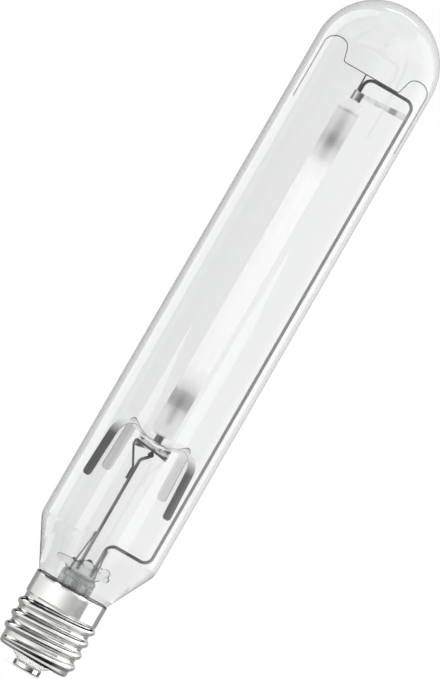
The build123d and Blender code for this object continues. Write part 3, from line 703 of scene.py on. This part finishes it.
class LAMP_OT_screw_cap(bpy.types.Operator):
    """Turn the screw shell, roll its thread, and turn the insulator and the contact"""

    bl_idname = "lamp.screw_cap"
    bl_label = "Screw Cap"

    def roll_thread(self, cap, mesh, rows, bottom, top, root, crest):
        """Pulls the outer rows of the shell out to a thread of round crests and round roots."""
        half = cap.pitch / 2
        quarter = cap.pitch / 4
        bend = (cap.depth**2 + half**2) / (4 * cap.depth)
        ease = 0.15 * MM
        for vertex in mesh.vertices:
            place = vertex.co
            if not bottom - 1e-6 < place.z < top + 1e-6:
                continue
            radius = math.hypot(place.x, place.y)
            nearest = min(rows, key=lambda row: abs(row[1] - place.z))
            if abs(radius - nearest[0]) > 1e-5:
                continue
            angle = (math.atan2(place.y, place.x) % (2 * math.pi)) / (2 * math.pi)
            along = (place.z - cap.first_crest) / cap.pitch - angle
            whole = round(along)
            away = abs(along - whole) * cap.pitch
            below = max(0.0, -(whole + angle)) / cap.fade
            above = max(0.0, whole + angle - cap.turns) / cap.head_fade
            sink = cap.depth * (1 - math.cos(min(1.0, max(below, above)) * math.pi / 2))
            if away < quarter:
                height = crest - bend + math.sqrt(bend**2 - away**2)
            else:
                height = root + bend - math.sqrt(bend**2 - (half - away) ** 2)
            rolled = height - sink
            fillet = max(0.0, ease - abs(rolled - radius)) ** 2 / (4 * ease)
            scale = (max(radius, rolled) + fillet) / radius
            place.x *= scale
            place.y *= scale

    def shell(self, cap, tint):
        """The plated shell: bottom, thread and skirt with its rim, as sheet."""
        low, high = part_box("screw_shell")
        crest = high.x
        root = crest - cap.depth
        wall = root + 0.13 * MM
        bore = root - cap.sheet
        foot, rim = low.z, high.z
        corner = 1.5 * MM
        step_foot = cap.skirt_foot - 0.5 * MM
        step_head = cap.skirt_foot + 0.5 * MM
        step_bend = 0.3 * MM
        lip = 0.16 * MM
        thread_low = foot + corner
        thread_high = step_foot - 0.4 * MM
        head_low = step_head + 0.4 * MM
        head_high = rim - 2.5 * MM
        skirt = cap.skirt_radius
        inside = skirt - cap.sheet
        heel = [(cap.mouth_radius, foot), (wall, foot), (wall, thread_low + 0.1 * MM)]
        line = rounded(heel, [corner], 10)[:-1]
        line += rise(wall, thread_low, thread_high, 170)
        step = [(wall, thread_high), (wall, step_foot), (skirt, step_head), (skirt, head_low)]
        line += rounded(step, [step_bend, step_bend], 6)[1:]
        line += rise(skirt, head_low, head_high, 28)
        outer_rows = list(line)
        edge = [(skirt, head_high), (skirt, rim), (inside, rim), (inside, step_head + cap.sheet / 2)]
        line += rounded(edge, [lip, lip], 5)[1:]
        line += [(bore, step_foot + cap.sheet / 2), (bore, foot + cap.sheet)]
        line += [(cap.mouth_radius, foot + cap.sheet), (cap.mouth_radius, foot)]
        turn(line, 192)
        object_mode()
        self.roll_thread(cap, bpy.context.object.data, outer_rows, thread_low, head_high, root, crest)
        smooth(50.0)
        material = nickel_finish(tint, cap.skirt_foot, rim, root, crest)
        finish_piece("screw_shell_plated", material, "nickel_plate", "screw_shell")

    def insulator(self, cap, tint):
        """The glazed cone in the shell's mouth and its disc inside."""
        low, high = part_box("cap_insulator")
        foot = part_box("screw_shell")[0].z
        disc = high.x
        gap = 0.03 * MM
        neck = 6.2 * MM
        hole = 0.48 * MM
        seat = cap.mouth_radius - gap
        shelf = foot + cap.sheet + gap
        line = [(hole, low.z), (neck, low.z), (seat, foot), (seat, shelf)]
        line += [(disc, shelf), (disc, high.z), (hole, high.z), (hole, low.z)]
        turn(rounded(line, [0.25 * MM, 0.3 * MM, 0.0, 0.0, 0.3 * MM, 0.0], 4), 96)
        smooth(35.0)
        finish_piece("insulator_glazed", glaze_finish(tint), "insulator", "cap_insulator")

    def contact(self, tint):
        """The turned contact with rounded edges."""
        low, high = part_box("centre_contact")
        edge = 0.8 * MM
        line = [(0.0, low.z), (high.x, low.z), (high.x, high.z), (0.0, high.z)]
        turn(rounded(line, [edge, edge], 8), 96)
        smooth(35.0)
        finish_piece("contact_turned", contact_finish(tint), "nickel_plate", "centre_contact")

    def execute(self, context):
        lamp = context.scene.sodium_lamp
        self.shell(lamp.cap, lamp.colours.nickel)
        self.insulator(lamp.cap, lamp.colours.glaze)
        self.contact(lamp.colours.contact)
        dress(["cap_cement"], cement_finish())
        return {"FINISHED"}


class LAMP_OT_glass_bulb(bpy.types.Operator):
    """Turn the blown bulb with its dome, cone and neck"""

    bl_idname = "lamp.glass_bulb"
    bl_label = "Glass Bulb"

    def line(self, bulb, inset):
        """Points up the wall, at a distance inside its outer face."""
        low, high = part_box("glass_bulb")
        radius = high.x
        middle = high.z - radius
        slope = (radius - bulb.rim_radius) / bulb.cone
        foot = bulb.rim_radius + inset - inset * math.sqrt(1 + slope**2)
        neck_corner = bulb.rim + (bulb.neck_radius - foot) / slope
        shoulder = bulb.rim + (radius - foot) / slope
        neck = bulb.neck_radius - inset
        tube = radius - inset
        wall = [(neck, low.z), (neck, neck_corner), (tube, shoulder), (tube, middle)]
        bends = [4.0 * MM + inset, 10.0 * MM - inset]
        return rounded(wall, bends, 10)[:-1] + arc((0.0, middle), tube, 0.0, 90.0, 40)

    def execute(self, context):
        lamp = context.scene.sodium_lamp
        bulb, colours = lamp.bulb, lamp.colours
        outer = self.line(bulb, 0.0)
        inner = self.line(bulb, bulb.wall)
        turn(outer + inner[::-1] + [outer[0]], 192)
        smooth(50.0)
        material = glass_finish("blown glass", colours.glass, colours.glass_density, 0.02, bulb.rim + bulb.cone)
        finish_piece("bulb_blown", material, "clear_glass", "glass_bulb")
        return {"FINISHED"}


class LAMP_OT_stem(bpy.types.Operator):
    """Melt the stem tube, its flare and the lumpy press into one glass piece"""

    bl_idname = "lamp.stem"
    bl_label = "Stem And Press"

    def lump(self, place, size):
        """A ball of glass, pulled to a size."""
        bpy.ops.mesh.primitive_uv_sphere_add(segments=24, ring_count=16, radius=1.0, location=place)
        ball = bpy.context.object
        ball.scale = size
        bpy.ops.object.transform_apply(location=True, rotation=True, scale=True)
        return ball

    def sleeve(self, x, bottom, top, low_radius, high_radius, lean):
        """A neck of glass drawn up along a wire."""
        height = top - bottom
        place = (x, 0.0, bottom + height / 2)
        bpy.ops.mesh.primitive_cone_add(
            vertices=20, radius1=low_radius, radius2=high_radius, depth=height, location=place
        )
        cone = bpy.context.object
        cone.rotation_euler = (0.0, lean, 0.0)
        bpy.ops.object.transform_apply(location=True, rotation=True, scale=True)
        return cone

    def execute(self, context):
        lamp = context.scene.sodium_lamp
        bulb, colours = lamp.bulb, lamp.colours
        low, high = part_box("stem")
        top = bulb.stem_top
        wall = 1.3 * MM
        flare_bend = 4.5 * MM
        flare_radius = high.x
        flare_top = low.z + wall + 9.0 * MM
        outer = bulb.stem_radius
        inner = outer - wall
        line = [(0.0, top), (outer, top), (outer, flare_top), (flare_radius - 2 * wall, low.z + wall)]
        line += [(flare_radius, low.z + wall), (flare_radius, low.z), (flare_radius - 3 * wall, low.z)]
        line += [(inner, flare_top), (inner, top - 2 * wall), (0.0, top - 2 * wall), (0.0, top)]
        turn(rounded(line, [wall, flare_bend, wall, 0.0, 0.0, flare_bend, 1.0 * MM, 0.0, 0.0], 6), 64)
        object_mode()
        tube = context.object
        pieces = [tube]
        for x, height, size in LUMPS:
            pieces.append(self.lump((x * MM, 0.0, top + height * MM), Vector(size) * MM))
        for x, foot, head, low_radius, high_radius, lean in SLEEVES:
            radii = (low_radius * MM, high_radius * MM)
            pieces.append(self.sleeve(x * MM, top + foot * MM, top + head * MM, *radii, lean))
        deselect()
        for piece in pieces:
            piece.select_set(True)
        context.view_layer.objects.active = tube
        bpy.ops.object.join()
        melt = tube.modifiers.new("Melt", "REMESH")
        melt.mode = "VOXEL"
        melt.voxel_size = 0.36 * MM
        bpy.ops.object.modifier_apply(modifier=melt.name)
        ease = tube.modifiers.new("Ease", "SMOOTH")
        ease.factor = 0.5
        ease.iterations = 6
        bpy.ops.object.modifier_apply(modifier=ease.name)
        smooth(80.0)
        glass = (colours.stem, colours.stem_density)
        finish_piece("stem_melted", stem_finish(*glass, top), "stem_glass", "stem")
        dress(["exhaust_tube"], glass_finish("exhaust glass", *glass, 0.05))
        return {"FINISHED"}


class LAMP_OT_arc_tube(bpy.types.Operator):
    """Turn the arc tube and dress its plugs, seals, feedthroughs and electrodes"""

    bl_idname = "lamp.arc_tube"
    bl_label = "Arc Tube"

    def execute(self, context):
        lamp = context.scene.sodium_lamp
        low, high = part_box("arc_tube")
        radius = high.x
        bore = radius - lamp.arc.wall
        edge = lamp.arc.edge
        middle = (low.z + high.z) / 2
        line = [(radius, middle), (radius, high.z), (bore, high.z)]
        line += [(bore, low.z), (radius, low.z), (radius, middle)]
        turn(rounded(line, [edge] * 4, 4), 96)
        smooth(50.0)
        skin = arc_tube_finish(lamp.colours.ceramic, low.z, high.z)
        piece = finish_piece("arc_tube_alumina", skin, "alumina", "arc_tube")
        piece.data.materials.append(bore_finish())
        for face in piece.data.polygons:
            if math.hypot(face.center.x, face.center.y) < bore + edge / 2:
                face.material_index = 1
        ends = ("upper", "lower")
        dress([f"{end}_end_plug" for end in ends], alumina_finish("plug alumina", (0.95, 0.95, 0.94), 0.5))
        dress([f"{end}_seal_ring" for end in ends], alumina_finish("seal frit", (0.80, 0.79, 0.76), 0.25))
        # Painted light: the two niobium tubes are one metal, given a dark colour below and a bright one above.
        dress(["lower_niobium_tube"], wire_finish("niobium", (0.17, 0.17, 0.175)))
        dress(["upper_niobium_tube"], strip_finish("bright niobium", (0.66, 0.66, 0.67)))
        electrodes = [f"{end}_electrode_{part}" for end in ends for part in ("rod", "coil")]
        dress(electrodes, wire_finish("tungsten", (0.07, 0.07, 0.072)))
        return {"FINISHED"}


class LAMP_OT_mount(bpy.types.Operator):
    """Dress the rods, wires, strips and springs of the mount"""

    bl_idname = "lamp.mount"
    bl_label = "Wire Mount"

    def execute(self, context):
        lamp = context.scene.sodium_lamp
        colours = lamp.colours
        press = lamp.bulb.stem_top
        dress(["frame_rod", "guide_pin"], wire_finish("drawn wire", colours.wire, press + 20.0 * MM))
        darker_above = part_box("support_rod")[1].z - 8.0 * MM
        dress(["support_rod"], wire_finish("support wire", (0.16, 0.16, 0.164), press + 26.0 * MM, darker_above))
        dress(["contact_lead", "shell_lead"], wire_finish("lead wire", grey(0.38)))
        dress(["brace_wire"], wire_finish("brace wire", grey(0.10)))
        dress(["dome_spring"], wire_finish("dome spring strip", grey(0.13)))
        dress(["spring_bracket"], folded_finish("bracket strip", colours.strip))
        dress(["spring_plate"], strip_finish("plate strip", colours.strip))
        start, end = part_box("side_strap")
        blotch = 18.2 * MM
        dress(["side_strap"], ribbon_finish(start.x, end.x, blotch))
        # Painted light: the left springs are brighter than the right; the rear springs get dark painted
        # outlines at the bend, the front ones grey.
        for side, painted_side_light in (("left", 1.38), ("right", 1.1)):
            for row, bend_edge_shade in (("front", 0.55), ("rear", 0.05)):
                node = f"leaf_spring_{row}_{side}"
                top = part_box(node)[1].z
                dress([node], leaf_finish(f"{row} spring {side}", colours, top, painted_side_light, bend_edge_shade))
        return {"FINISHED"}


class LAMP_OT_stage(bpy.types.Operator):
    """Set up the floor, the reflectors, the light and the camera"""

    bl_idname = "lamp.stage"
    bl_label = "Stage"

    def softbox(self, name, place, size, energy):
        """A square lamp turned to the middle of the bulb, that no mirror shows."""
        light = bpy.data.lights.new(name, "AREA")
        light.size = size
        light.energy = energy
        lamp = bpy.data.objects.new(name, light)
        place = Vector(place)
        aim = place - Vector((0.0, 0.0, 0.2))
        lamp.matrix_world = Matrix.Translation(place) @ aim.to_track_quat("Z", "Y").to_matrix().to_4x4()
        lamp.visible_camera = False
        lamp.visible_glossy = False
        lamp.visible_transmission = False
        bpy.context.scene.collection.objects.link(lamp)

    def reflector(self, name, glow, inside=False, below=None):
        """Makes the active object a card with a strength or tones by direction.

        It shows in mirrors outside the glass, or only after a bounce to the parts inside the glass.
        The lower side can have a strength of its own, and is clear if that is under 0.
        """
        object_mode()
        card = bpy.context.object
        card.name = name
        finish = Finish(name)
        finish.nodes.remove(finish.shader)
        if isinstance(glow, float):
            emission = finish.node("ShaderNodeEmission", Strength=glow)
        else:
            emission = finish.node("ShaderNodeEmission", Strength=CARD_GLOW)
            ahead = finish.math("MULTIPLY", finish.axis("Y"), -1.0)
            direction = finish.math("ARCTAN2", finish.axis("X"), ahead)
            stops = [((degrees + 180.0) / 360.0, tone) for degrees, tone in glow]
            tones = finish.ramp(finish.remap(direction, -math.pi, math.pi), stops)
            finish.links.new(tones, emission.inputs["Color"])
        shown = emission.outputs["Emission"]
        if inside:
            path = finish.node("ShaderNodeLightPath").outputs
            bounces = finish.math("ADD", path["Glossy Depth"], path["Diffuse Depth"])
            shown = finish.blend(finish.math("GREATER_THAN", bounces, 0.5), finish.clear(), shown)
        if below is not None:
            under = finish.clear()
            if below >= 0:
                under = finish.node("ShaderNodeEmission", Strength=below).outputs["Emission"]
            sides = (shown, under) if card.data.polygons[0].normal.z > 0 else (under, shown)
            shown = finish.blend(finish.node("ShaderNodeNewGeometry").outputs["Backfacing"], *sides)
        finish.surface(shown)
        card.data.materials.clear()
        card.data.materials.append(finish.material)
        card.visible_camera = False
        card.visible_diffuse = False
        card.visible_transmission = inside
        card.visible_glossy = not inside
        card.visible_shadow = False
        card.visible_volume_scatter = False

    def ring(self, name, radius, bottom, top, tones, inside=False):
        """A band round the lamp."""
        turn([(radius, bottom), (radius, top)], 180)
        self.reflector(name, tones, inside)

    def washer(self, name, inner, outer, height, tones, below=None):
        """A flat ring round the lamp."""
        turn([(inner, height), (outer, height)], 90)
        self.reflector(name, tones, below=below)

    def flame(self, name, distance, corners, strength):
        """A tapering card, given by directions in degrees and heights."""
        deselect()
        bpy.ops.mesh.primitive_circle_add(vertices=len(corners), fill_type="NGON")
        for vertex, (degrees, height) in zip(bpy.context.object.data.vertices, corners):
            angle = math.radians(degrees)
            vertex.co = (distance * math.sin(angle), -distance * math.cos(angle), height)
        self.reflector(name, strength)

    def floor(self):
        """White paper, with soft shade only where the lamp stands on it."""
        deselect()
        bpy.ops.mesh.primitive_plane_add(size=40.0)
        floor = bpy.context.object
        floor.name = "floor"
        paper = Finish("floor paper").set(Base_Color=grey(0.94), Roughness=0.9, Specular_IOR_Level=0.1)
        far = paper.remap(paper.vector("LENGTH", paper.place()), 0.004, 0.014)
        white = paper.node("ShaderNodeEmission").outputs["Emission"]
        plain = paper.math("MULTIPLY", far, paper.seen())
        paper.surface(paper.blend(plain, paper.shader.outputs["BSDF"], white))
        floor.data.materials.append(paper.material)

    def studio(self, scene):
        """A white world, a little dimmer as a light than as a background, and three softboxes."""
        scene.world = bpy.data.worlds.new("studio")
        scene.world.use_nodes = True
        tree = Tree(scene.world.node_tree)
        background = tree.nodes["Background"]
        tree.feed(background.inputs["Color"], grey(1.0))
        tree.feed(background.inputs["Strength"], tree.remap(tree.seen(), 0.0, 1.0, 0.85, 1.0))
        self.softbox("overhead softbox", (-0.2, -0.2, 1.5), 1.2, 6.0)
        self.softbox("left softbox", (-1.2, -0.68, 0.55), 0.6, 19.5)
        self.softbox("right softbox", (1.2, -0.68, 0.55), 0.6, 26.0)

    def reflectors(self):
        """Cards that give the bands along the glass and on the cap."""
        self.ring("bulb reflector", 1.0, 0.0, 2.2, BULB_TONES)
        self.washer("cap floor flag", 0.0075, 0.040, 0.0004, FLAG_TONES)
        self.ring("contact reflector", 0.013, 0.0004, 0.0045, CONTACT_TONES)
        self.washer("floor card", 0.040, 0.29, 0.0005, FLOOR_TONES)
        cone_height = 0.047
        self.washer("cone reflector", 0.021, 0.045, cone_height, CONE_TONES, below=0.02)
        outer_tones = [(max(-180.0, min(180.0, degrees * 1.14)), tone) for degrees, tone in CONE_TONES]
        self.washer("outer cone reflector", 0.045, 0.3, cone_height, outer_tones, below=-1.0)
        self.ring("cap reflector", 0.3, 0.0006, 0.054, CAP_TONES)
        left = [(-51.7, 0.0), (-33.5, 0.0), (-33.5, 0.118), (-51.9, 0.178)]
        self.flame("left flame", 0.95, left, 2.6)
        right = [(27.0, 0.0), (51.0, 0.0), (49.0, 0.19), (33.5, 0.25), (29.0, 0.19)]
        self.flame("right flame", 0.95, right, 3.4)
        strip = [(150.0, 1.15), (-150.0, 1.15), (-150.0, 1.35), (150.0, 1.35)]
        self.flame("dome strip", 0.6, strip, 3.0)
        crescent = [(-101.0, 0.75), (-128.5, 0.75), (-128.5, 2.05), (-101.0, 2.05)]
        self.flame("dome crescent", 0.98, crescent, 1.7)
        self.ring("front fill", 1.1, 0.0, 1.0, FILL_TONES, inside=True)

    def camera(self, scene):
        """A long lens in front, level and rolled, as in the photograph."""
        view = bpy.data.cameras.new("photo camera")
        view.lens = 500.0
        view.sensor_width = 36.0
        camera = bpy.data.objects.new("photo camera", view)
        place = (0.0015, -4.4210526, 0.1804)
        roll = math.radians(30.0)
        right = Vector((math.cos(roll), 0.0, math.sin(roll)))
        up = Vector((-math.sin(roll), 0.0, math.cos(roll)))
        back = Vector((0.0, -1.0, 0.0))
        camera.matrix_world = Matrix.Translation(place) @ Matrix((right, up, back)).transposed().to_4x4()
        scene.collection.objects.link(camera)
        scene.camera = camera

    def execute(self, context):
        scene = context.scene
        scene.view_settings.view_transform = "Standard"
        self.floor()
        self.studio(scene)
        self.reflectors()
        self.camera(scene)
        return {"FINISHED"}


class LAMP_PT_sidebar(bpy.types.Panel):
    """Lists the steps and the settings of the lamp"""

    bl_idname = "LAMP_PT_sidebar"
    bl_label = "Sodium Vapour Bulb"
    bl_space_type = "VIEW_3D"
    bl_region_type = "UI"
    bl_category = "Lamp"

    def draw(self, context):
        layout = self.layout
        for step in STEPS:
            layout.operator(step.bl_idname)
        lamp = context.scene.sodium_lamp
        for group in (lamp.cap, lamp.bulb, lamp.arc, lamp.colours):
            box = layout.box()
            for name in group.__annotations__:
                box.prop(group, name)


STEPS = (LAMP_OT_stage, LAMP_OT_screw_cap, LAMP_OT_glass_bulb, LAMP_OT_stem, LAMP_OT_arc_tube, LAMP_OT_mount)
CLASSES = (CapSettings, GlassSettings, ArcTubeSettings, ColourSettings, LampSettings, *STEPS, LAMP_PT_sidebar)


def register():
    for item in CLASSES:
        bpy.utils.register_class(item)
    bpy.types.Scene.sodium_lamp = bpy.props.PointerProperty(type=LampSettings)


def unregister():
    del bpy.types.Scene.sodium_lamp
    for item in reversed(CLASSES):
        bpy.utils.unregister_class(item)


def main():
    register()
    bpy.ops.lamp.stage()
    bpy.ops.lamp.screw_cap()
    bpy.ops.lamp.glass_bulb()
    bpy.ops.lamp.stem()
    bpy.ops.lamp.arc_tube()
    bpy.ops.lamp.mount()


if __name__ == "__main__":
    main()
